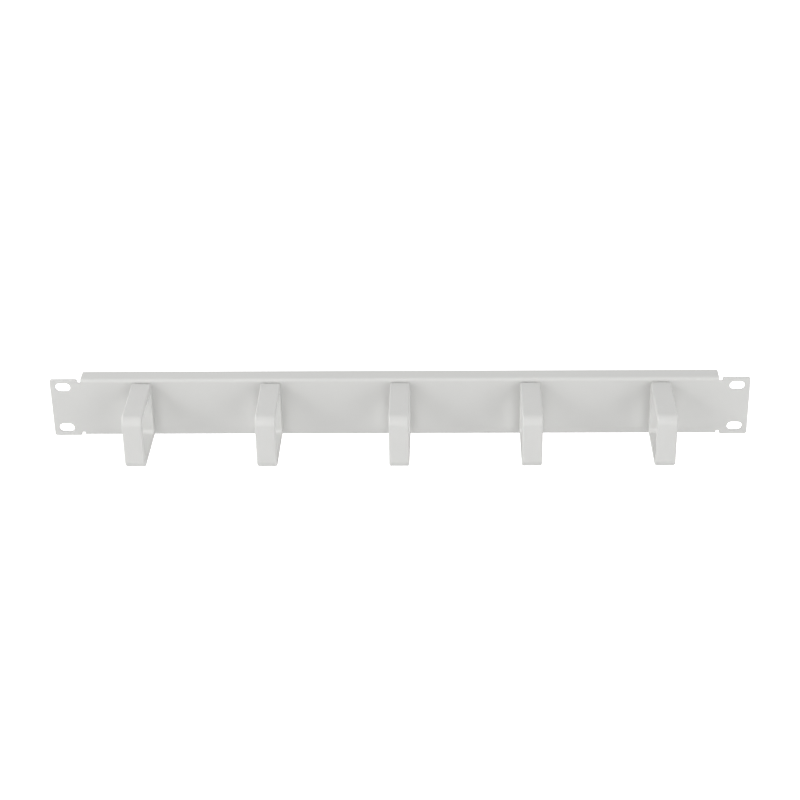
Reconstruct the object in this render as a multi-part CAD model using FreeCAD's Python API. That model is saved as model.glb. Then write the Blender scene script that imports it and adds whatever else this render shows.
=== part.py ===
# Horizontal cable manager, one unit high, for a 19-inch rack.
# A folded sheet-steel panel carries a row of moulded plastic rings that hold patch leads.
# Each ring is fastened from behind by two pan-head screws that form their thread in its thick spine.
# Millimetres. X runs to the right along the panel, Y into the rack and Z up.
# The origin is the middle of the panel's front face, which is the middle of its four rack slots.

import FreeCAD, Part
import math
import os

# Panel, folded from one sheet
SHEET = 1.5
PANEL_WIDTH = 482.6
PANEL_HEIGHT = 44.0
EAR_WIDTH = 21.3
FLANGE_DEPTH = 12.0
BEND_INSIDE_RADIUS = 0.8
EAR_CORNER_RADIUS = 1.5
EAR_INNER_CHAMFER = 1.2
RELIEF_WIDTH = 2.2
RELIEF_PAST_BEND = 0.3

# Rack slots, one pair in each ear, 465.1 by 31.75 mm between their middles
SLOT_FROM_END = 8.75
SLOT_FROM_EDGE = 6.125
SLOT_LENGTH = 10.5
SLOT_WIDTH = 6.5

# Cable rings
RING_COUNT = 5
FIRST_RING_FROM_EAR = 42.7
LAST_RING_FROM_EAR = 40.1
RING_HEIGHT = 39.2
RING_DEPTH = 52.0
RING_WIDTH = 13.6
RING_WALL = 3.5
RING_CORNER_RADIUS = 8.0
RING_EDGE_BEVEL = 1.3
SMALLEST_RADIUS = 0.3

# Screws that hold the rings, and the blind holes that they go into
SCREW_DIAMETER = 2.9
SCREW_LENGTH = 6.5
SCREW_HEAD_DIAMETER = 5.4
SCREW_HEAD_HEIGHT = 2.2
RECESS_SPAN = 3.2
RECESS_FLOOR_SPAN = 1.4
RECESS_DEPTH = 1.4
RECESS_WING = 0.8
SCREW_HOLE_CLEARANCE = 0.25
THREAD_CLEARANCE = 0.05
SCREW_FROM_RING_END = 7.6
PILOT_SPARE = 0.6
PILOT_END_WALL = 1.2

# Values that follow from the ones above
BEND_OUTSIDE_RADIUS = BEND_INSIDE_RADIUS + SHEET
BODY_WIDTH = PANEL_WIDTH - 2 * EAR_WIDTH
FLAT_HALF_HEIGHT = PANEL_HEIGHT / 2 - BEND_OUTSIDE_RADIUS
SLOT_X = PANEL_WIDTH / 2 - SLOT_FROM_END
SLOT_Z = PANEL_HEIGHT / 2 - SLOT_FROM_EDGE
RING_INNER_RADIUS = max(RING_CORNER_RADIUS - RING_WALL, SMALLEST_RADIUS)
SCREW_HEIGHT = RING_HEIGHT / 2 - SCREW_FROM_RING_END
PILOT_DEPTH = SCREW_LENGTH - SHEET + PILOT_SPARE
RING_SPINE = PILOT_DEPTH + PILOT_END_WALL

ALONG_X = FreeCAD.Vector(1, 0, 0)
ALONG_Y = FreeCAD.Vector(0, 1, 0)
ALONG_Z = FreeCAD.Vector(0, 0, 1)
ORIGIN = FreeCAD.Vector(0, 0, 0)
QUARTER = math.sqrt(0.5)


def ring_places():
    """X of the middle of each ring, evenly spaced from left to right."""
    first = FIRST_RING_FROM_EAR - BODY_WIDTH / 2
    last = BODY_WIDTH / 2 - LAST_RING_FROM_EAR
    pitch = (last - first) / (RING_COUNT - 1)
    return [first + pitch * index for index in range(RING_COUNT)]


def rounded_outline(corners, to_space):
    """Closed wire through corners given as (a, b, radius), each rounded by its own radius.

    to_space turns the two flat coordinates into a point in space.
    """
    points = [FreeCAD.Vector(a, b, 0) for a, b, _ in corners]
    starts = []
    middles = []
    ends = []
    for index, corner in enumerate(points):
        radius = corners[index][2]
        back = (points[index - 1] - corner).normalize()
        ahead = (points[(index + 1) % len(points)] - corner).normalize()
        half_angle = back.getAngle(ahead) / 2
        run = radius / math.tan(half_angle)
        inward = (back + ahead).normalize()
        starts.append(corner + back * run)
        ends.append(corner + ahead * run)
        middles.append(corner + inward * (radius / math.sin(half_angle) - radius))
    edges = []
    for index in range(len(points)):
        start = to_space(starts[index].x, starts[index].y)
        end = to_space(ends[index].x, ends[index].y)
        if corners[index][2] > 0:
            middle = to_space(middles[index].x, middles[index].y)
            edges.append(Part.Arc(start, middle, end).toShape())
        following = (index + 1) % len(points)
        next_start = to_space(starts[following].x, starts[following].y)
        edges.append(Part.LineSegment(end, next_start).toShape())
    return Part.Wire(edges)


def panel_front(x, z):
    """A point on the panel's front face."""
    return FreeCAD.Vector(x, 0, z)


def obround(length, width, x, z):
    """Outline of a slot along X with round ends, centred at x, z on the front face."""
    radius = width / 2
    straight = length / 2 - radius
    left = x - straight
    right = x + straight
    edges = [
        Part.LineSegment(panel_front(left, z + radius), panel_front(right, z + radius)).toShape(),
        Part.Arc(panel_front(right, z + radius), panel_front(right + radius, z),
                 panel_front(right, z - radius)).toShape(),
        Part.LineSegment(panel_front(right, z - radius), panel_front(left, z - radius)).toShape(),
        Part.Arc(panel_front(left, z - radius), panel_front(left - radius, z),
                 panel_front(left, z + radius)).toShape(),
    ]
    return Part.Wire(edges)


def through_sheet(wire):
    """The solid that an outline on the front face cuts from the sheet."""
    return Part.Face(wire).extrude(ALONG_Y * SHEET)


def flat_blank():
    """Face and ears, flat, with a relief notch beside the end of each bend."""
    ear_edge = PANEL_WIDTH / 2
    body_edge = BODY_WIDTH / 2
    notch_edge = body_edge + RELIEF_WIDTH
    top = PANEL_HEIGHT / 2
    notch_floor = FLAT_HALF_HEIGHT - RELIEF_PAST_BEND
    upper_right = [
        (ear_edge, top, EAR_CORNER_RADIUS),
        (notch_edge + EAR_INNER_CHAMFER, top, 0),
        (notch_edge, top - EAR_INNER_CHAMFER, 0),
        (notch_edge, notch_floor, 0),
        (body_edge, notch_floor, 0),
        (body_edge, FLAT_HALF_HEIGHT, 0),
    ]
    upper_left = [(-x, z, radius) for x, z, radius in reversed(upper_right)]
    upper = upper_right + upper_left
    lower = [(-x, -z, radius) for x, z, radius in upper]
    return through_sheet(rounded_outline(upper + lower, panel_front))


def folded_flange():
    """The upper bend and the flange behind it, along the body."""
    top = PANEL_HEIGHT / 2
    bend = BEND_OUTSIDE_RADIUS
    inner = BEND_INSIDE_RADIUS

    def section(y, z):
        return FreeCAD.Vector(-BODY_WIDTH / 2, y, z)

    def on_bend(radius):
        return section(bend - radius * QUARTER, top - bend + radius * QUARTER)

    edges = [
        Part.Arc(section(0, top - bend), on_bend(bend), section(bend, top)).toShape(),
        Part.LineSegment(section(bend, top), section(FLANGE_DEPTH, top)).toShape(),
        Part.LineSegment(section(FLANGE_DEPTH, top), section(FLANGE_DEPTH, top - SHEET)).toShape(),
        Part.LineSegment(section(FLANGE_DEPTH, top - SHEET), section(bend, top - SHEET)).toShape(),
        Part.Arc(section(bend, top - SHEET), on_bend(inner), section(SHEET, top - bend)).toShape(),
        Part.LineSegment(section(SHEET, top - bend), section(0, top - bend)).toShape(),
    ]
    return Part.Face(Part.Wire(edges)).extrude(ALONG_X * BODY_WIDTH)


def make_panel():
    """Folded sheet panel: face, two ears with slots, two flanges and the screw holes."""
    upper_flange = folded_flange()
    lower_flange = upper_flange.mirror(ORIGIN, ALONG_Z)
    panel = flat_blank().fuse([upper_flange, lower_flange]).removeSplitter()
    cuts = []
    for side_x in (-1, 1):
        for side_z in (-1, 1):
            outline = obround(SLOT_LENGTH, SLOT_WIDTH, side_x * SLOT_X, side_z * SLOT_Z)
            cuts.append(through_sheet(outline))
    hole_radius = SCREW_DIAMETER / 2 + SCREW_HOLE_CLEARANCE
    for x in ring_places():
        for z in (-SCREW_HEIGHT, SCREW_HEIGHT):
            cuts.append(Part.makeCylinder(hole_radius, SHEET, panel_front(x, z), ALONG_Y))
    return panel.cut(cuts)


def ring_outer_outline():
    """Side view of the ring's outside: square at the panel, rounded in front."""
    half = RING_HEIGHT / 2
    return [
        (0, half, 0),
        (-RING_DEPTH, half, RING_CORNER_RADIUS),
        (-RING_DEPTH, -half, RING_CORNER_RADIUS),
        (0, -half, 0),
    ]


def ring_inner_outline():
    """Side view of the opening that the leads pass through."""
    half = RING_HEIGHT / 2 - RING_WALL
    front = -(RING_DEPTH - RING_WALL)
    return [
        (-RING_SPINE, half, 0),
        (front, half, RING_INNER_RADIUS),
        (front, -half, RING_INNER_RADIUS),
        (-RING_SPINE, -half, 0),
    ]


def side_prism(outline):
    """A side view carried across the ring's full width."""
    def left_side(y, z):
        return FreeCAD.Vector(-RING_WIDTH / 2, y, z)

    return Part.Face(rounded_outline(outline, left_side)).extrude(ALONG_X * RING_WIDTH)


def long_edges(solid):
    """The edges round the ring's two sides, apart from those on the panel."""
    edges = []
    for edge in solid.Edges:
        box = edge.BoundBox
        on_side = box.XLength < 1e-6 and abs(abs(box.XMin) - RING_WIDTH / 2) < 1e-6
        if on_side and box.YMin < -1e-6:
            edges.append(edge)
    return edges


def make_ring():
    """One moulded ring, at X = 0, with its back on the panel's front face."""
    block = side_prism(ring_outer_outline())
    block = block.makeChamfer(RING_EDGE_BEVEL, long_edges(block))
    cuts = [side_prism(ring_inner_outline())]
    pilot_radius = SCREW_DIAMETER / 2 + THREAD_CLEARANCE
    for z in (-SCREW_HEIGHT, SCREW_HEIGHT):
        cuts.append(Part.makeCylinder(pilot_radius, PILOT_DEPTH, panel_front(0, z), -ALONG_Y))
    return block.cut(cuts)


def screw_recess():
    """The cross recess: two tapered wings down into the head."""
    top = SCREW_LENGTH + SCREW_HEAD_HEIGHT
    floor = top - RECESS_DEPTH
    corners = [
        (-RECESS_SPAN / 2, top),
        (RECESS_SPAN / 2, top),
        (RECESS_FLOOR_SPAN / 2, floor),
        (-RECESS_FLOOR_SPAN / 2, floor),
        (-RECESS_SPAN / 2, top),
    ]
    outline = Part.makePolygon([FreeCAD.Vector(x, -RECESS_WING / 2, z) for x, z in corners])
    wing = Part.Face(outline).extrude(ALONG_Y * RECESS_WING)
    other = wing.copy()
    other.rotate(ORIGIN, ALONG_Z, 90)
    return wing.fuse(other)


def make_screw():
    """Pan-head screw standing on its end at the origin, its axis along Z."""
    shank = Part.makeCylinder(SCREW_DIAMETER / 2, SCREW_LENGTH)
    seat = FreeCAD.Vector(0, 0, SCREW_LENGTH)
    head = Part.makeCylinder(SCREW_HEAD_DIAMETER / 2, SCREW_HEAD_HEIGHT, seat)
    return shank.fuse(head).cut(screw_recess())


def place_screw(x, z):
    """A screw driven from behind, its head seated on the back of the sheet."""
    screw = make_screw()
    screw.rotate(ORIGIN, ALONG_X, -90)
    screw.translate(FreeCAD.Vector(x, SHEET - SCREW_LENGTH, z))
    return screw


def make_nodes():
    """Every piece of the cable manager by name."""
    nodes = {"panel": make_panel()}
    for index, x in enumerate(ring_places(), start=1):
        ring = make_ring()
        ring.translate(FreeCAD.Vector(x, 0, 0))
        nodes[f"ring_{index}"] = ring
        nodes[f"ring_{index}_screw_upper"] = place_screw(x, SCREW_HEIGHT)
        nodes[f"ring_{index}_screw_lower"] = place_screw(x, -SCREW_HEIGHT)
    return nodes


os.makedirs("parts", exist_ok=True)
for name, shape in make_nodes().items():
    shape.exportStep(f"parts/{name}.step")
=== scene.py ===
"""Looks of a one-unit horizontal cable manager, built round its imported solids.

The panel is one sheet, worked out flat and then folded by a formula. Each ring is a
rounded section carried round a loop, with two blind screw holes in its back. Each screw
is a surface of revolution with a rolled thread. Metres: X runs to the right along the
panel, Y into the rack and Z up. The origin is the middle of the panel's front face.
"""

import logging
import math
from dataclasses import dataclass, field
from enum import Enum

import bmesh
import bpy
import numpy as np
from mathutils import Matrix, Vector
from mathutils.geometry import delaunay_2d_cdt


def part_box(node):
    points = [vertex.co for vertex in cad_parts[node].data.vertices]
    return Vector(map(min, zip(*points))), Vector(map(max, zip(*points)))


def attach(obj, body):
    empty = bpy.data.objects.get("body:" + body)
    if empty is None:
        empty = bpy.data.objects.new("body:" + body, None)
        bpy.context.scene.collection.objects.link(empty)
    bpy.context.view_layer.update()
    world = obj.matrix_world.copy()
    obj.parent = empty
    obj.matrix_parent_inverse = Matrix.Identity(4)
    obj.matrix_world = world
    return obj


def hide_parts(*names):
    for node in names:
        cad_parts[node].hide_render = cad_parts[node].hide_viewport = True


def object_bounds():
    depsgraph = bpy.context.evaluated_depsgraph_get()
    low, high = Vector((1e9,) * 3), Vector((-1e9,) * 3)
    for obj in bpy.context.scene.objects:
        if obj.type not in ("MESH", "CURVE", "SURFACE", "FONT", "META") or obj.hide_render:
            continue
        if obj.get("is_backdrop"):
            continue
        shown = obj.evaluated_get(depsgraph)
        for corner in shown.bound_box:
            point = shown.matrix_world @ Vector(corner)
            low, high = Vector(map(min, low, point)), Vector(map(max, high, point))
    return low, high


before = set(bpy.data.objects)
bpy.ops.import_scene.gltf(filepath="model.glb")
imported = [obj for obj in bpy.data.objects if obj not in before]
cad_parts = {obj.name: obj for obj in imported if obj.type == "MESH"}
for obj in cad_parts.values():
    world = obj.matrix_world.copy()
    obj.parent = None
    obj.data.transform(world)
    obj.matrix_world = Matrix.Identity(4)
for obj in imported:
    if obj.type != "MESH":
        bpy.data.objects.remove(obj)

MM = 0.001
ROOT = "root"
WELD = 1e-7

# Sizes that more than one kind of piece takes
SHEET = 1.5 * MM
SCREW_HEIGHT = 12.0 * MM

# How far large faces draw the normals beside them, at most 100
AREA_WEIGHT = 100

# Noise keeps between about these two values
NOISE_LOW = 0.3
NOISE_HIGH = 0.7

# Blender's number for a fill of the whole hull with triangles, and the fill's tolerance in mm
WHOLE_HULL = 0
FILL_TOLERANCE = 1e-6

WHITE = (1.0, 1.0, 1.0, 1.0)
LOG = logging.getLogger("cable_manager")

Colour = tuple[float, float, float]


class Slot(Enum):
    """Names of the material slots in the record."""

    PANEL = "painted_steel"
    RING = "ring_plastic"
    SCREW = "screw_zinc"


class Row(Enum):
    """The two rows of screws, above and below the middle of the panel."""

    UPPER = 1
    LOWER = -1


def linear_light(red: float, green: float, blue: float) -> Colour:
    """Turns a colour on the screen's 0 to 255 scale into linear light.

    Args:
        red: Red on the screen's scale.
        green: Green on the screen's scale.
        blue: Blue on the screen's scale.

    Returns:
        The colour in linear light: ((c / 255 + 0.055) / 1.055) to the power 2.4.
    """
    return tuple(((value / 255 + 0.055) / 1.055) ** 2.4 for value in (red, green, blue))


@dataclass(frozen=True)
class Outline:
    """A closed flat outline and the direction out of the material at each point.

    An outside edge runs anticlockwise, and the edge of a hole clockwise.
    """

    points: np.ndarray
    outward: np.ndarray

    def inset(self, distance: float) -> np.ndarray:
        """Points moved inwards by a distance, as a new array."""
        return self.points - self.outward * distance

    def as_hole(self) -> "Outline":
        """The same outline as the edge of a hole: run clockwise, with outward turned round."""
        return Outline(self.points[::-1], -self.outward[::-1])


def rounded_outline(corners: list[tuple[float, float, float]], steps: int) -> Outline:
    """Rounds each corner of a polygon with its own radius.

    An arc's centre lies on the line that halves the corner, radius / sin(half angle) from
    it, and the arc's points are centre + radius * (cos, sin) of evenly spaced angles.

    Args:
        corners: The corners as (a, b, radius), anticlockwise.
        steps: Number of steps in each arc.

    Returns:
        The closed outline.
    """
    points: list[np.ndarray] = []
    outward: list[np.ndarray] = []
    count = len(corners)
    places = np.array([corner[:2] for corner in corners])
    for index in range(count):
        radius = corners[index][2]
        back = places[index - 1] - places[index]
        ahead = places[(index + 1) % count] - places[index]
        back = back / np.linalg.norm(back)
        ahead = ahead / np.linalg.norm(ahead)
        convex = np.sign(back[1] * ahead[0] - back[0] * ahead[1])
        half = math.acos(float(np.clip(back @ ahead, -1, 1))) / 2
        middle = (back + ahead) / np.linalg.norm(back + ahead)
        centre = places[index] + middle * radius / math.sin(half)
        first = places[index] + back * radius / math.tan(half) - centre
        turn = convex * (math.pi - 2 * half)
        angles = math.atan2(first[1], first[0]) + turn * np.linspace(0, 1, steps + 1)
        spokes = np.stack([np.cos(angles), np.sin(angles)], axis=1)
        points.append(centre + radius * spokes)
        outward.append(spokes * convex)
    return Outline(np.concatenate(points), np.concatenate(outward))


def obround(length: float, width: float, middle: tuple[float, float], steps: int) -> Outline:
    """A slot's outline along the first axis, with half-round ends.

    Args:
        length: End-to-end length.
        width: Width, twice the radius of the ends.
        middle: Where the slot's middle is.
        steps: Number of steps in each half-round end.

    Returns:
        The closed outline: two half circles, each point offset by the straight half length.
    """
    straight = length / 2 - width / 2
    angles = np.linspace(-math.pi / 2, math.pi / 2, steps + 1)
    angles = np.concatenate([angles, angles + math.pi])
    spokes = np.stack([np.cos(angles), np.sin(angles)], axis=1)
    shift = np.where(np.arange(len(angles)) <= steps, straight, -straight)
    points = spokes * width / 2
    points[:, 0] += shift
    return Outline(points + np.array(middle), spokes)


def loop_faces(first: int, around: int, rows: int, closed: bool) -> np.ndarray:
    """Quads over a grid of loops.

    Args:
        first: Index of the grid's first vertex.
        around: Points in each loop.
        rows: Number of loops.
        closed: Whether the last loop joins the first.

    Returns:
        An array of quads, four vertex numbers each.
    """
    row = np.arange(rows if closed else rows - 1)[:, None]
    column = np.arange(around)[None, :]
    beside = (column + 1) % around
    below = (row + 1) % rows
    quads = np.stack([
        row * around + column,
        row * around + beside,
        below * around + beside,
        below * around + column,
    ], axis=-1)
    return quads.reshape(-1, 4) + first


def prism_faces(around: int) -> list[list[int]]:
    """Faces of a closed prism: a band between two loops, and a cap on each loop.

    Args:
        around: Points in each loop.

    Returns:
        Lists of vertex numbers.
    """
    faces = loop_faces(0, around, 2, closed=False).tolist()
    faces.append(list(range(around)))
    faces.append(list(range(around, 2 * around)))
    return faces


def inside(points: np.ndarray, edges: np.ndarray) -> np.ndarray:
    """Tells which points lie inside a set of closed outlines.

    A point is inside when a line from it to the right crosses the edges an odd number of
    times. An edge counts when its ends lie on either side of the point's height.

    Args:
        points: Array of n by 2 places.
        edges: Array of m by 2 by 2 places, the two ends of each edge.

    Returns:
        One true or false for each point.
    """
    start = edges[None, :, 0]
    end = edges[None, :, 1]
    height = points[:, None, 1]
    spans = (start[..., 1] > height) != (end[..., 1] > height)
    rise = np.where(spans, end[..., 1] - start[..., 1], 1.0)
    share = (height - start[..., 1]) / rise
    crossing = start[..., 0] + share * (end[..., 0] - start[..., 0])
    return (spans & (crossing > points[:, None, 0])).sum(axis=1) % 2 == 1


def make_mesh(name: str, vertices: np.ndarray, faces: list[list[int]]) -> bpy.types.Mesh:
    """A mesh from whole arrays, welded at its seams and poles, with its faces outwards.

    Args:
        name: Name of the mesh.
        vertices: Array of n by 3 places.
        faces: Lists of vertex numbers.

    Returns:
        The new mesh.
    """
    mesh = bpy.data.meshes.new(name)
    mesh.from_pydata(vertices.reshape(-1, 3).tolist(), [], faces)
    work = bmesh.new()
    work.from_mesh(mesh)
    bmesh.ops.remove_doubles(work, verts=work.verts, dist=WELD)
    bmesh.ops.dissolve_degenerate(work, edges=work.edges, dist=WELD)
    bmesh.ops.recalc_face_normals(work, faces=work.faces)
    work.to_mesh(mesh)
    work.free()
    mesh.update()
    return mesh


def cut_from(body: bpy.types.Mesh, cutters: list[bpy.types.Mesh]) -> bpy.types.Mesh:
    """Cuts closed meshes from a closed mesh.

    Args:
        body: The mesh that is worked on.
        cutters: The meshes that are cut away.

    Returns:
        A new mesh with the result.
    """
    scene = bpy.context.scene
    host = bpy.data.objects.new("host", body)
    scene.collection.objects.link(host)
    tools = []
    for cutter in cutters:
        tool = bpy.data.objects.new("tool", cutter)
        scene.collection.objects.link(tool)
        change = host.modifiers.new("cut", "BOOLEAN")
        change.operation = "DIFFERENCE"
        change.solver = "EXACT"
        change.object = tool
        tools.append(tool)
    bpy.context.view_layer.update()
    graph = bpy.context.evaluated_depsgraph_get()
    result = bpy.data.meshes.new_from_object(host.evaluated_get(graph))
    for thing in [host, *tools]:
        bpy.data.objects.remove(thing)
    return result


def add_piece(name: str, mesh: bpy.types.Mesh, material: bpy.types.Material,
              sharp_deg: float) -> bpy.types.Object:
    """Puts a finished mesh into the scene in place of the solid of the same name.

    Args:
        name: Name of the solid that the piece stands for.
        mesh: The piece's mesh, already in its place.
        material: The piece's finish.
        sharp_deg: Edges that turn by more than this stay crisp.

    Returns:
        The new object.
    """
    mesh.polygons.foreach_set("use_smooth", np.ones(len(mesh.polygons), dtype=bool))
    mesh.set_sharp_from_angle(angle=math.radians(sharp_deg))
    mesh.materials.clear()
    mesh.materials.append(material)
    piece = bpy.data.objects.new(f"{name}_skin", mesh)
    bpy.context.scene.collection.objects.link(piece)
    flatten = piece.modifiers.new("even_normals", "WEIGHTED_NORMAL")
    flatten.mode = "FACE_AREA"
    flatten.weight = AREA_WEIGHT
    flatten.keep_sharp = True
    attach(piece, ROOT)
    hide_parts(name)
    LOG.info("%s: %d faces", piece.name, len(mesh.polygons))
    return piece


class Wiring:
    """A node tree that starts empty, with short calls to add and join nodes."""

    def __init__(self, tree: bpy.types.NodeTree) -> None:
        """Empties the tree.

        Args:
            tree: The node tree of a material or of the world.
        """
        self.tree = tree
        self.tree.nodes.clear()

    def add(self, kind: str, **settings: object) -> bpy.types.Node:
        """Adds a node and sets its own properties.

        Args:
            kind: Blender's name for the node.
            **settings: Properties of the node.

        Returns:
            The new node.
        """
        node = self.tree.nodes.new(kind)
        for key, value in settings.items():
            setattr(node, key, value)
        return node

    def join(self, source: bpy.types.NodeSocket, target: bpy.types.NodeSocket) -> None:
        """Joins an output to an input."""
        self.tree.links.new(source, target)

    def kinds_of_ray(self) -> tuple[bpy.types.NodeSocket, bpy.types.NodeSocket]:
        """Tells how a surface or the world is looked at.

        Returns:
            A socket that is 1 for the camera's own rays, and one that is 1 for rays that
            come by way of a glossy or a clear surface. Both are 0 for all others.
        """
        rays = self.add("ShaderNodeLightPath")
        either = self.add("ShaderNodeMath", operation="ADD")
        self.join(rays.outputs["Is Glossy Ray"], either.inputs[0])
        self.join(rays.outputs["Is Transmission Ray"], either.inputs[1])
        return rays.outputs["Is Camera Ray"], either.outputs["Value"]


class Sheet(Wiring):
    """A material with its main shader, and the parts that the finishes share."""

    def __init__(self, name: str) -> None:
        """Makes a material with only its output and its main shader.

        Args:
            name: Name of the material.
        """
        self.material = bpy.data.materials.new(name)
        self.material.use_nodes = True
        super().__init__(self.material.node_tree)
        self.output = self.add("ShaderNodeOutputMaterial")
        self.shader = self.add("ShaderNodeBsdfPrincipled")
        self.join(self.shader.outputs["BSDF"], self.output.inputs["Surface"])

    def noise(self, size: float, detail: float, roughness: float) -> bpy.types.NodeSocket:
        """Noise on the object's own coordinates.

        Args:
            size: Size of a blotch, in metres.
            detail: Number of finer layers.
            roughness: Weight of the finer layers.

        Returns:
            The noise's value, about 0.5 on average.
        """
        place = self.add("ShaderNodeTexCoord")
        noise = self.add("ShaderNodeTexNoise")
        noise.inputs["Scale"].default_value = 1 / size
        noise.inputs["Detail"].default_value = detail
        noise.inputs["Roughness"].default_value = roughness
        self.join(place.outputs["Object"], noise.inputs["Vector"])
        return noise.outputs["Fac"]

    def spread(self, value: bpy.types.NodeSocket, low: float,
               high: float) -> bpy.types.NodeSocket:
        """Maps noise, from the range that it keeps to, onto another range.

        Args:
            value: The noise.
            low: Result where the noise is low.
            high: Result where the noise is high.

        Returns:
            The mapped value.
        """
        mapping = self.add("ShaderNodeMapRange")
        mapping.inputs["From Min"].default_value = NOISE_LOW
        mapping.inputs["From Max"].default_value = NOISE_HIGH
        mapping.inputs["To Min"].default_value = low
        mapping.inputs["To Max"].default_value = high
        self.join(value, mapping.inputs["Value"])
        return mapping.outputs["Result"]

    def tinted(self, colour: Colour, factor: bpy.types.NodeSocket) -> bpy.types.NodeSocket:
        """A colour made lighter or darker by a factor near 1.

        Args:
            colour: The colour in linear light.
            factor: What each channel is multiplied by.

        Returns:
            The colour socket.
        """
        scale = self.add("ShaderNodeVectorMath", operation="SCALE")
        scale.inputs[0].default_value = colour
        self.join(factor, scale.inputs["Scale"])
        return scale.outputs["Vector"]

    def bump(self, height: bpy.types.NodeSocket, distance: float) -> None:
        """Raises the shader's surface by a height.

        Args:
            height: The height, from 0 to 1.
            distance: What a height of 1 stands for, in metres.
        """
        node = self.add("ShaderNodeBump")
        node.inputs["Strength"].default_value = 1.0
        node.inputs["Distance"].default_value = distance
        self.join(height, node.inputs["Height"])
        self.join(node.outputs["Normal"], self.shader.inputs["Normal"])


@dataclass(frozen=True)
class Finish:
    """A finish whose tone, gloss and grain vary a little over the surface."""

    name: str
    colour: Colour
    tone_low: float
    tone_high: float
    tone_blotch: float
    roughness: float
    roughness_spread: float
    gloss_blotch: float
    grain: float
    grain_height: float
    tone_detail: float = 3.0
    gloss_detail: float = 2.0
    grain_detail: float = 3.0
    blotch_softness: float = 0.5
    grain_softness: float = 0.6
    metallic: float = 0.0

    def material(self) -> bpy.types.Material:
        """Builds the finish.

        Returns:
            The new material.
        """
        sheet = Sheet(self.name)
        shader = sheet.shader
        shader.inputs["Metallic"].default_value = self.metallic
        blotches = sheet.noise(self.tone_blotch, self.tone_detail, self.blotch_softness)
        tone = sheet.spread(blotches, self.tone_low, self.tone_high)
        sheet.join(sheet.tinted(self.colour, tone), shader.inputs["Base Color"])
        blotches = sheet.noise(self.gloss_blotch, self.gloss_detail, self.blotch_softness)
        rough = sheet.spread(blotches, self.roughness - self.roughness_spread,
                             self.roughness + self.roughness_spread)
        sheet.join(rough, shader.inputs["Roughness"])
        grain = sheet.noise(self.grain, self.grain_detail, self.grain_softness)
        sheet.bump(grain, self.grain_height)
        return sheet.material


@dataclass(frozen=True)
class PowderCoat(Finish):
    """Light grey powder coat on steel, with a fine even texture."""

    name: str = "powder_coat_light_grey"
    colour: Colour = linear_light(206, 206, 204)
    tone_low: float = 0.992
    tone_high: float = 1.008
    tone_blotch: float = 60.0 * MM
    roughness: float = 0.5
    roughness_spread: float = 0.03
    gloss_blotch: float = 6.0 * MM
    grain: float = 0.9 * MM
    grain_height: float = 0.006 * MM


@dataclass(frozen=True)
class MouldedPlastic(Finish):
    """Light grey moulded plastic with a fine spark-eroded grain."""

    name: str = "moulded_plastic_light_grey"
    colour: Colour = linear_light(206, 206, 204)
    tone_low: float = 0.99
    tone_high: float = 1.01
    tone_blotch: float = 14.0 * MM
    roughness: float = 0.46
    roughness_spread: float = 0.04
    gloss_blotch: float = 3.0 * MM
    grain: float = 0.35 * MM
    grain_height: float = 0.004 * MM
    grain_detail: float = 2.0


@dataclass(frozen=True)
class ZincPlate(Finish):
    """Bright zinc plate on small screws."""

    name: str = "bright_zinc"
    colour: Colour = (0.60, 0.61, 0.62)
    tone_low: float = 0.93
    tone_high: float = 1.05
    tone_blotch: float = 1.5 * MM
    roughness: float = 0.3
    roughness_spread: float = 0.08
    gloss_blotch: float = 0.6 * MM
    grain: float = 0.25 * MM
    grain_height: float = 0.003 * MM
    metallic: float = 1.0


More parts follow.
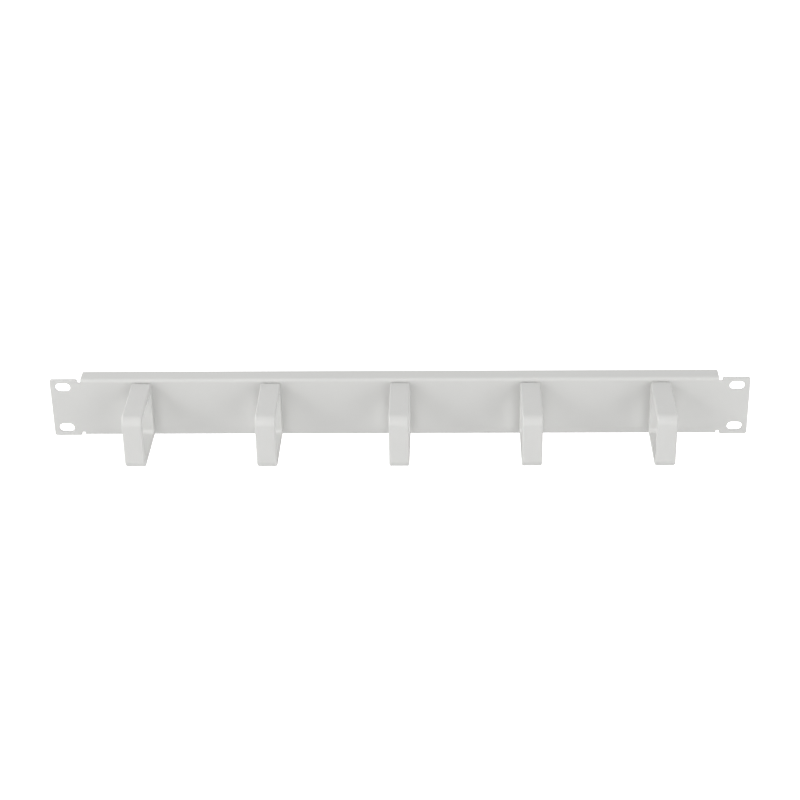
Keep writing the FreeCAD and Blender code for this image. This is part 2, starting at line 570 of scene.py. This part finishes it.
@dataclass
class FoldedPanel:
    """The folded sheet: face, two ears with slots, two bends and two flanges."""

    width: float = 482.6 * MM
    height: float = 44.0 * MM
    ear_width: float = 21.3 * MM
    sheet: float = SHEET
    flange_depth: float = 12.0 * MM
    bend_inside: float = 0.8 * MM
    ear_corner: float = 1.5 * MM
    small_corner: float = 0.25 * MM
    ear_inner_corner: float = 1.2 * MM
    relief_width: float = 2.2 * MM
    relief_past_bend: float = 0.3 * MM
    slot_from_end: float = 8.75 * MM
    slot_from_edge: float = 6.125 * MM
    slot_length: float = 10.5 * MM
    slot_width: float = 6.5 * MM
    screw_hole: float = 3.4 * MM
    edge_radius: float = 0.22 * MM
    edge_steps: int = 4
    bend_steps: int = 14
    corner_steps: int = 6
    slot_steps: int = 24
    hole_steps: int = 16
    sharp_deg: float = 40.0
    ring_places: list[float] = field(default_factory=list)

    @property
    def bend_outside(self) -> float:
        """Outside radius of the bends."""
        return self.bend_inside + self.sheet

    @property
    def flat_half(self) -> float:
        """Half the height of the flat face between the bends."""
        return self.height / 2 - self.bend_outside

    @property
    def bend_run(self) -> float:
        """Length of a bend along the middle of the sheet."""
        return (self.bend_inside + self.sheet / 2) * math.pi / 2

    @property
    def flat_top(self) -> float:
        """Half height of the unfolded body."""
        return self.flat_half + self.bend_run + self.flange_depth - self.bend_outside

    def folded(self, flat: np.ndarray, depth: float) -> np.ndarray:
        """Folds points of the flat sheet.

        A point at height s and depth t stays at (x, t, s) up to h, half the flat face's
        height. In the bend it turns by (s - h) / run of a quarter turn about the bend's
        middle, at radius R - t, where R is the bend's outside radius. Past the bend it runs
        straight back. The ears, beyond the body's ends, stay flat.

        Args:
            flat: Array of n by 2 places on the flat sheet.
            depth: Depth below the outer face.

        Returns:
            Array of n by 3 places.
        """
        x = flat[:, 0]
        height = np.abs(flat[:, 1])
        side = np.sign(flat[:, 1])
        body = np.abs(x) <= self.width / 2 - self.ear_width + WELD
        past = np.where(body, np.clip(height - self.flat_half, 0, None), 0)
        turn = np.clip(past / self.bend_run, 0, 1) * math.pi / 2
        straight = np.clip(past - self.bend_run, 0, None)
        radius = self.bend_outside - depth
        y = self.bend_outside - radius * np.cos(turn) + straight
        z = np.where(body, np.minimum(height, self.flat_half), height) + radius * np.sin(turn)
        return np.stack([x, y, side * z], axis=1)

    def blank(self) -> Outline:
        """Outline of the flat sheet, with a point at each fold line on the body's ends.

        Returns:
            The outline, worked out for one quarter and mirrored to the others.
        """
        ear = self.width / 2
        body = ear - self.ear_width
        notch = body + self.relief_width
        floor = self.flat_half - self.relief_past_bend
        small = self.small_corner
        quarter = [
            (ear, self.height / 2, self.ear_corner),
            (notch, self.height / 2, self.ear_inner_corner),
            (notch, floor, small),
            (body, floor, small),
            (body, self.flat_top, small),
        ]
        upper = quarter + [(-x, z, radius) for x, z, radius in reversed(quarter)]
        lower = [(-x, -z, radius) for x, z, radius in upper]
        outline = rounded_outline(upper + lower, self.corner_steps)
        return self.with_fold_points(outline, body)

    def fold_heights(self) -> np.ndarray:
        """Heights of the fold lines on the flat sheet, upper side."""
        return self.flat_half + self.bend_run * np.arange(self.bend_steps + 1) / self.bend_steps

    def with_fold_points(self, outline: Outline, body: float) -> Outline:
        """Adds a point at each fold line where the outline runs along the body's ends.

        Args:
            outline: The outline without them.
            body: Half width of the body.

        Returns:
            The outline with the points sorted in.
        """
        points = outline.points
        count = len(points)
        following = np.roll(points, -1, axis=0)
        on_end = (np.abs(np.abs(points[:, 0]) - body) < WELD) & (
            np.abs(np.abs(following[:, 0]) - body) < WELD)
        lines = np.concatenate([self.fold_heights(), -self.fold_heights()])
        places = [points]
        outward = [outline.outward]
        order = [np.arange(count, dtype=float)]
        for index in np.flatnonzero(on_end):
            start = points[index]
            end = following[index]
            share = (lines - start[1]) / (end[1] - start[1])
            share = np.sort(share[(share > 0) & (share < 1)])[:, None]
            places.append(start + (end - start) * share)
            outward.append(np.repeat(outline.outward[index:index + 1], len(share), axis=0))
            order.append(index + share[:, 0])
        sequence = np.argsort(np.concatenate(order), kind="stable")
        return Outline(np.concatenate(places)[sequence], np.concatenate(outward)[sequence])

    def holes(self) -> list[Outline]:
        """Outlines of the four rack slots and the screw holes behind the rings.

        Returns:
            The outlines, each run clockwise.
        """
        found = []
        for side_x in (-1, 1):
            for side_z in (-1, 1):
                middle = (side_x * (self.width / 2 - self.slot_from_end),
                          side_z * (self.height / 2 - self.slot_from_edge))
                slot = obround(self.slot_length, self.slot_width, middle, self.slot_steps)
                found.append(slot.as_hole())
        for x in self.ring_places:
            for row in Row:
                place = (x, row.value * SCREW_HEIGHT)
                hole = obround(self.screw_hole, self.screw_hole, place, self.hole_steps)
                found.append(hole.as_hole())
        return found

    def rim_levels(self) -> tuple[np.ndarray, np.ndarray]:
        """Inset and depth of each loop round a cut edge.

        Returns:
            inset = r * (1 - sin a) and depth = r * (1 - cos a) from the front face, then
            the same mirrored to the back face.
        """
        angle = np.linspace(0, math.pi / 2, self.edge_steps + 1)
        inset = self.edge_radius * (1 - np.sin(angle))
        depth = self.edge_radius * (1 - np.cos(angle))
        return (np.concatenate([inset, inset[::-1]]),
                np.concatenate([depth, self.sheet - depth[::-1]]))

    def build(self) -> bpy.types.Mesh:
        """Makes the folded sheet as one closed mesh.

        Each outline becomes a band of loops that rounds the cut edge, and the front and
        back faces fill the outlines between the bands, split along the fold lines.

        Returns:
            The panel's mesh.
        """
        insets, depths = self.rim_levels()
        rows = len(insets)
        vertices: list[np.ndarray] = []
        faces: list[list[int]] = []
        flat: list[np.ndarray] = []
        edges: list[np.ndarray] = []
        front: list[np.ndarray] = []
        first = 0
        corner = 0
        for outline in [self.blank(), *self.holes()]:
            around = len(outline.points)
            levels = [self.folded(outline.inset(inset), depth)
                      for inset, depth in zip(insets, depths)]
            vertices.extend(levels)
            faces.extend(loop_faces(first, around, rows, closed=False).tolist())
            flat.append(outline.inset(insets[0]))
            front.append(first + np.arange(around))
            here = corner + np.arange(around)
            edges.append(np.stack([here, np.roll(here, -1)], axis=1))
            first += around * rows
            corner += around
        filled = self.filled(np.concatenate(flat), np.concatenate(edges))
        to_front = np.concatenate(front)
        to_back = np.concatenate([numbers + len(numbers) * (rows - 1) for numbers in front])
        faces.extend(to_front[filled].tolist())
        faces.extend(to_back[filled[:, ::-1]].tolist())
        return make_mesh("panel", np.concatenate(vertices), faces)

    def filled(self, places: np.ndarray, rims: np.ndarray) -> np.ndarray:
        """Triangles that fill the flat sheet between its rims.

        Args:
            places: All the points of the rims, on the flat sheet.
            rims: Pairs of point numbers, one for each edge of the rims.

        Returns:
            Array of triangles, three point numbers each, none of which crosses a fold line.
        """
        lines = np.concatenate([rims, self.fold_edges(places)])
        corners = [Vector(place) for place in places / MM]
        _, _, triangles, sources, _, _ = delaunay_2d_cdt(
            corners, lines.tolist(), [], WHOLE_HULL, FILL_TOLERANCE)
        source = np.array([numbers[0] for numbers in sources])
        found = source[np.array(triangles)]
        return found[inside(places[found].mean(axis=1), places[rims])]

    def fold_edges(self, places: np.ndarray) -> np.ndarray:
        """Pairs of points that each fold line joins, from one end of the body to the other.

        Args:
            places: All the points of the filled face.

        Returns:
            Array of pairs of point numbers.
        """
        body = self.width / 2 - self.ear_width - self.edge_radius
        pairs = []
        for height in np.concatenate([self.fold_heights(), -self.fold_heights()]):
            level = np.abs(places[:, 1] - height) < WELD
            ends = np.abs(np.abs(places[:, 0]) - body) < WELD
            pairs.append(np.flatnonzero(level & ends))
        return np.array(pairs)


@dataclass
class CableRing:
    """A moulded ring: a closed loop with a thick flat back that two screws go into."""

    height: float = 39.2 * MM
    depth: float = 52.0 * MM
    width: float = 13.6 * MM
    wall: float = 3.5 * MM
    spine: float = 6.8 * MM
    corner: float = 6.5 * MM
    back_corner: float = 2.4 * MM
    inside_corner: float = 2.8 * MM
    outer_edge: float = 1.2 * MM
    inner_edge: float = 0.7 * MM
    corner_steps: int = 16
    edge_steps: int = 8
    pilot: float = 3.0 * MM
    pilot_depth: float = 5.6 * MM
    pilot_steps: int = 32
    plug_past_back: float = 1.0 * MM
    sharp_deg: float = 35.0

    def loops(self) -> tuple[Outline, Outline]:
        """Side views of the ring, as (y, z).

        Returns:
            The outline of the outside and that of the opening, which has one point for each
            point of the first.
        """
        half = self.height / 2
        inner = half - self.wall
        front = -self.depth
        outer_corners = [
            (0, -half, self.back_corner),
            (0, half, self.back_corner),
            (front, half, self.corner),
            (front, -half, self.corner),
        ]
        inner_corners = [
            (-self.spine, -inner, self.inside_corner),
            (-self.spine, inner, self.inside_corner),
            (front + self.wall, inner, self.corner - self.wall),
            (front + self.wall, -inner, self.corner - self.wall),
        ]
        return (rounded_outline(outer_corners, self.corner_steps),
                rounded_outline(inner_corners, self.corner_steps))

    def band(self) -> bpy.types.Mesh:
        """Makes the loop without its screw holes.

        A point of the section lies at depth d below the outer outline and at x across it.
        On an outer edge of radius r they are d = r * (1 - cos a) and x = w - r + r * sin a,
        with w half the width. On an inner one they are x = w - r + r * cos a and
        d = t - r + r * sin a, with t the wall's thickness. So the section is a rectangle
        with four rounded edges.

        Returns:
            A closed mesh at X = 0.
        """
        outer, inner = self.loops()
        across = inner.points - outer.points
        thickness = np.linalg.norm(across, axis=1, keepdims=True)
        inward = across / thickness
        outer_edge = np.full_like(thickness, self.outer_edge)
        inner_edge = np.full_like(thickness, self.inner_edge)
        angle = np.linspace(0, math.pi / 2, self.edge_steps + 1)[None, :]
        half = self.width / 2
        rise_x = half - outer_edge + outer_edge * np.sin(angle)
        rise_d = outer_edge * (1 - np.cos(angle))
        fall_x = half - inner_edge + inner_edge * np.cos(angle)
        fall_d = thickness - inner_edge + inner_edge * np.sin(angle)
        x = np.concatenate([rise_x, fall_x, -fall_x[:, ::-1], -rise_x[:, ::-1]], axis=1)
        d = np.concatenate([rise_d, fall_d, fall_d[:, ::-1], rise_d[:, ::-1]], axis=1)
        side_view = outer.points[:, None, :] + inward[:, None, :] * d[:, :, None]
        vertices = np.concatenate([x[:, :, None], side_view], axis=2)
        rows, around = x.shape
        faces = loop_faces(0, around, rows, closed=True).tolist()
        return make_mesh("ring_band", vertices, faces)

    def pilot_plug(self, row: Row) -> bpy.types.Mesh:
        """The round plug that cuts one blind pilot hole from the back.

        Args:
            row: Upper or lower screw.

        Returns:
            A closed cylinder along Y: (r * cos a, y, z + r * sin a).
        """
        angle = np.linspace(0, 2 * math.pi, self.pilot_steps, endpoint=False)
        circle = np.stack([np.cos(angle), np.zeros_like(angle), np.sin(angle)], axis=1)
        circle = circle * self.pilot / 2
        circle[:, 2] += SCREW_HEIGHT * row.value
        levels = [circle + np.array([0, y, 0]) for y in (self.plug_past_back, -self.pilot_depth)]
        return make_mesh("pilot", np.concatenate(levels), prism_faces(self.pilot_steps))

    def build(self) -> bpy.types.Mesh:
        """Makes the whole ring at X = 0, with its pilot holes cut."""
        return cut_from(self.band(), [self.pilot_plug(row) for row in Row])


@dataclass
class PanHeadScrew:
    """Self-tapping screw with a cross recess, along Y with its head at the back."""

    length: float = 6.5 * MM
    diameter: float = 2.9 * MM
    core: float = 2.2 * MM
    pitch: float = 1.1 * MM
    head_diameter: float = 5.4 * MM
    head_height: float = 2.2 * MM
    head_side_share: float = 0.4
    dome_power: float = 0.75
    foot_edge: float = 0.12 * MM
    foot_past_shank: float = 0.1 * MM
    recess_span: float = 3.2 * MM
    recess_floor: float = 1.4 * MM
    recess_depth: float = 1.4 * MM
    recess_wing: float = 0.8 * MM
    cutter_above_head: float = 0.4 * MM
    seat: float = SHEET
    around: int = 40
    head_rows: int = 16
    rows_per_turn: int = 12
    sharp_deg: float = 35.0

    def head_profile(self) -> np.ndarray:
        """Radius and height of the head, from the middle of its top to its underside.

        Returns:
            Array of (radius, height): a domed top, r = R * sin(a)^p and h = s + (H - s) *
            cos(a)^p, over a low straight side of height s, then the flat underside.
        """
        angle = np.linspace(0, math.pi / 2, self.head_rows)
        side = self.head_height * self.head_side_share
        rim = self.head_diameter / 2
        radius = rim * np.sin(angle) ** self.dome_power
        height = side + (self.head_height - side) * np.cos(angle) ** self.dome_power
        foot = np.array([[rim, self.foot_edge],
                         [rim - self.foot_edge, 0.0],
                         [self.diameter / 2 + self.foot_past_shank, 0.0]])
        return np.concatenate([np.stack([radius, height], axis=1), foot])

    def body(self) -> bpy.types.Mesh:
        """Makes the screw without its recess.

        The shank's radius is the core's plus rise * (1 - |2 * f - 1|), where f is the
        fraction left of height / pitch - angle / turn, so the ridge climbs one pitch each
        turn. The rise fades out over one pitch at either end of the shank.

        Returns:
            A closed mesh whose underside of head lies at the back of the sheet.
        """
        head = self.head_profile()
        angle = np.linspace(0, 2 * math.pi, self.around, endpoint=False)[None, :]
        rows = int(self.length / self.pitch * self.rows_per_turn)
        height = np.linspace(0, -self.length, rows)[:, None]
        phase = np.mod(height / self.pitch - angle / (2 * math.pi), 1.0)
        ridge = 1 - np.abs(2 * phase - 1)
        from_end = np.clip((height + self.length) / self.pitch, 0, 1)
        from_head = np.clip(-height / self.pitch, 0, 1)
        rise = (self.diameter - self.core) / 2
        shank = self.core / 2 + rise * ridge * np.sqrt(from_end * from_head)
        radius = np.concatenate([np.repeat(head[:, :1], self.around, axis=1), shank,
                                 np.zeros((1, self.around))])
        level = np.concatenate([head[:, 1:], height, [[-self.length]]])
        level = self.seat + np.repeat(level, self.around, axis=1)
        vertices = np.stack([radius * np.cos(angle), level, radius * np.sin(angle)], axis=2)
        faces = loop_faces(0, self.around, len(radius), closed=False).tolist()
        return make_mesh("screw_body", vertices, faces)

    def recess(self) -> bpy.types.Mesh:
        """Makes the tapered cross that the recess is cut with.

        Returns:
            A closed mesh: a cross outline at the top joined to a shorter one at the floor.
        """
        wing = self.recess_wing / 2
        top = self.seat + self.head_height
        slope = (self.recess_span - self.recess_floor) / 2 / self.recess_depth
        above = self.cutter_above_head
        quarter_turns = [np.array([[c, -s], [s, c]])
                         for c, s in ((1, 0), (0, 1), (-1, 0), (0, -1))]
        levels = []
        for reach, y in ((self.recess_span / 2 + slope * above, top + above),
                         (self.recess_floor / 2, top - self.recess_depth)):
            arm = np.array([[reach, -wing], [reach, wing], [wing, wing]])
            cross = np.concatenate([arm @ turn.T for turn in quarter_turns])
            levels.append(np.stack([cross[:, 0], np.full(len(cross), y), cross[:, 1]], axis=1))
        return make_mesh("recess", np.concatenate(levels), prism_faces(len(levels[0])))

    def build(self) -> bpy.types.Mesh:
        """Makes the whole screw on the Y axis."""
        return cut_from(self.body(), [self.recess()])


def direction(azimuth_deg: float, height_deg: float) -> Vector:
    """Direction from the object to a camera or a lamp.

    Args:
        azimuth_deg: Angle a from the front towards the right.
        height_deg: Angle h above level.

    Returns:
        The unit vector (sin a * cos h, -cos a * cos h, sin h).
    """
    azimuth = math.radians(azimuth_deg)
    height = math.radians(height_deg)
    return Vector((math.sin(azimuth) * math.cos(height), -math.cos(azimuth) * math.cos(height),
                   math.sin(height)))


@dataclass(frozen=True)
class SoftBox:
    """One soft square lamp that faces the object."""

    name: str
    azimuth_deg: float
    height_deg: float
    power: float
    size: float = 1.6
    distance: float = 3.0

    def place(self) -> None:
        """Hangs the lamp and turns it to the object."""
        back = direction(self.azimuth_deg, self.height_deg)
        data = bpy.data.lights.new(self.name, "AREA")
        data.shape = "SQUARE"
        data.size = self.size
        data.energy = self.power
        lamp = bpy.data.objects.new(self.name, data)
        turn = back.to_track_quat("Z", "Y").to_matrix().to_4x4()
        lamp.matrix_world = Matrix.Translation(back * self.distance) @ turn
        bpy.context.scene.collection.objects.link(lamp)


@dataclass
class Studio:
    """Camera, lamps, floor and backdrop round the object."""

    target: tuple[float, float, float] = (0.973 * MM, 0.0, 5.349 * MM)
    distance: float = 1.3256
    elevation_deg: float = 28.652
    azimuth_deg: float = 1.765
    roll_deg: float = -1.024
    lens_mm: float = 86.25
    sensor_width_mm: float = 36.0
    clip_near: float = 0.01
    clip_far: float = 50.0
    floor_half: float = 6.0
    floor_drop: float = 0.12
    floor_colour: Colour = (0.75, 0.75, 0.75)
    floor_roughness: float = 0.9
    floor_glow_seen: float = 0.85
    floor_glow_reflected: float = 0.4
    ambient: float = 0.30
    overhead: float = 0.26
    lamps: tuple[SoftBox, ...] = (
        SoftBox("lamp_high_left", -75.0, 40.0, 36.0, 1.1),
        SoftBox("lamp_high_right", 75.0, 40.0, 8.4, 1.1),
        SoftBox("lamp_left", -35.0, 12.0, 18.6),
        SoftBox("lamp_right", 35.0, 12.0, 28.0),
        SoftBox("lamp_behind_left", -125.0, 8.0, 17.0, 0.8),
        SoftBox("lamp_behind_right", 125.0, 8.0, 17.0, 0.8),
    )

    def camera(self) -> None:
        """Sets the camera from its distance, elevation, azimuth and roll about the target."""
        back = direction(self.azimuth_deg, self.elevation_deg)
        right = (-back).cross(Vector((0, 0, 1))).normalized()
        up = right.cross(-back)
        roll = math.radians(self.roll_deg)
        turned_right = right * math.cos(roll) + up * math.sin(roll)
        turned_up = up * math.cos(roll) - right * math.sin(roll)
        turn = Matrix((turned_right, turned_up, back)).transposed().to_4x4()
        lens = bpy.data.cameras.new("camera")
        lens.lens = self.lens_mm
        lens.sensor_width = self.sensor_width_mm
        lens.clip_start = self.clip_near
        lens.clip_end = self.clip_far
        camera = bpy.data.objects.new("camera", lens)
        place = Vector(self.target) + back * self.distance
        camera.matrix_world = Matrix.Translation(place) @ turn
        bpy.context.scene.collection.objects.link(camera)
        bpy.context.scene.camera = camera
        LOG.info("camera at %s", tuple(round(value, 4) for value in camera.location))

    def world(self) -> None:
        """Lights the object all round, and shows as white itself.

        The light's strength in a direction is ambient + overhead * z, so that more comes
        from above than from below.
        """
        world = bpy.data.worlds.new("studio")
        world.use_nodes = True
        bpy.context.scene.world = world
        wiring = Wiring(world.node_tree)
        place = wiring.add("ShaderNodeTexCoord")
        upward = wiring.add("ShaderNodeVectorMath", operation="DOT_PRODUCT")
        upward.inputs[1].default_value = (0.0, 0.0, self.overhead)
        strength = wiring.add("ShaderNodeMath", operation="ADD")
        strength.inputs[1].default_value = self.ambient
        light = wiring.add("ShaderNodeBackground")
        light.inputs["Color"].default_value = WHITE
        seen = wiring.add("ShaderNodeBackground")
        seen.inputs["Color"].default_value = WHITE
        from_camera, reflected = wiring.kinds_of_ray()
        shown = wiring.add("ShaderNodeMath", operation="ADD", use_clamp=True)
        mix = wiring.add("ShaderNodeMixShader")
        output = wiring.add("ShaderNodeOutputWorld")
        wiring.join(place.outputs["Generated"], upward.inputs[0])
        wiring.join(upward.outputs["Value"], strength.inputs[0])
        wiring.join(strength.outputs["Value"], light.inputs["Strength"])
        wiring.join(from_camera, shown.inputs[0])
        wiring.join(reflected, shown.inputs[1])
        wiring.join(shown.outputs["Value"], mix.inputs["Fac"])
        wiring.join(light.outputs["Background"], mix.inputs[1])
        wiring.join(seen.outputs["Background"], mix.inputs[2])
        wiring.join(mix.outputs["Shader"], output.inputs["Surface"])

    def floor_material(self) -> bpy.types.Material:
        """Builds the floor's finish: pale, white to the eye, and clear from beneath.

        Its glow reaches only rays from the camera and rays by way of a glossy or a clear
        surface, so it puts no light on the object.

        Returns:
            The new material.
        """
        sheet = Sheet("pale_floor")
        shader = sheet.shader
        shader.inputs["Base Color"].default_value = (*self.floor_colour, 1.0)
        shader.inputs["Roughness"].default_value = self.floor_roughness
        shader.inputs["Emission Color"].default_value = WHITE
        from_camera, reflected = sheet.kinds_of_ray()
        dimmed = sheet.add("ShaderNodeMath", operation="MULTIPLY")
        dimmed.inputs[1].default_value = self.floor_glow_reflected
        strength = sheet.add("ShaderNodeMath", operation="MULTIPLY_ADD")
        strength.inputs[1].default_value = self.floor_glow_seen
        sides = sheet.add("ShaderNodeNewGeometry")
        clear = sheet.add("ShaderNodeBsdfTransparent")
        mix = sheet.add("ShaderNodeMixShader")
        sheet.join(reflected, dimmed.inputs[0])
        sheet.join(from_camera, strength.inputs[0])
        sheet.join(dimmed.outputs["Value"], strength.inputs[2])
        sheet.join(strength.outputs["Value"], shader.inputs["Emission Strength"])
        sheet.join(sides.outputs["Backfacing"], mix.inputs["Fac"])
        sheet.join(shader.outputs["BSDF"], mix.inputs[1])
        sheet.join(clear.outputs["BSDF"], mix.inputs[2])
        sheet.join(mix.outputs["Shader"], sheet.output.inputs["Surface"])
        return sheet.material

    def floor(self, low: float) -> None:
        """Adds the floor below the object.

        Args:
            low: Height of the object's lowest point.
        """
        level = low - self.floor_drop
        half = self.floor_half
        corners = [(-half, -half, level), (half, -half, level), (half, half, level),
                   (-half, half, level)]
        mesh = bpy.data.meshes.new("floor")
        mesh.from_pydata(corners, [], [(0, 1, 2, 3)])
        mesh.materials.append(self.floor_material())
        floor = bpy.data.objects.new("floor", mesh)
        bpy.context.scene.collection.objects.link(floor)
        floor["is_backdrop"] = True

    def build(self, low: float) -> None:
        """Sets up camera, world, lamps and floor.

        Args:
            low: Height of the object's lowest point.
        """
        view = bpy.context.scene.view_settings
        view.view_transform = "Standard"
        self.camera()
        self.world()
        for lamp in self.lamps:
            lamp.place()
        self.floor(low)


@dataclass
class CableManager:
    """The whole object: panel, rings and screws, each in place of its solid."""

    ring_count: int = 5

    def ring_place(self, number: int) -> float:
        """X of the middle of one ring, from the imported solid."""
        low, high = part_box(f"ring_{number}")
        return (low.x + high.x) / 2

    def build(self) -> None:
        """Builds and dresses every piece."""
        numbers = range(1, self.ring_count + 1)
        places = [self.ring_place(number) for number in numbers]
        panel = FoldedPanel(ring_places=places)
        add_piece("panel", panel.build(), PowderCoat().material(), panel.sharp_deg)
        plastic = MouldedPlastic().material()
        zinc = ZincPlate().material()
        ring = CableRing()
        screw = PanHeadScrew()
        ring_mesh = ring.build()
        screw_mesh = screw.build()
        for number, x in zip(numbers, places):
            mesh = ring_mesh.copy()
            mesh.transform(Matrix.Translation((x, 0, 0)))
            add_piece(f"ring_{number}", mesh, plastic, ring.sharp_deg)
            for row in Row:
                mesh = screw_mesh.copy()
                mesh.transform(Matrix.Translation((x, 0, row.value * SCREW_HEIGHT)))
                name = f"ring_{number}_screw_{row.name.lower()}"
                add_piece(name, mesh, zinc, screw.sharp_deg)


def main() -> None:
    """Builds the object and the studio."""
    logging.basicConfig(level=logging.INFO, format="%(name)s %(message)s")
    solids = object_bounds()
    CableManager().build()
    Studio().build(solids[0].z)


if __name__ == "__main__":
    main()
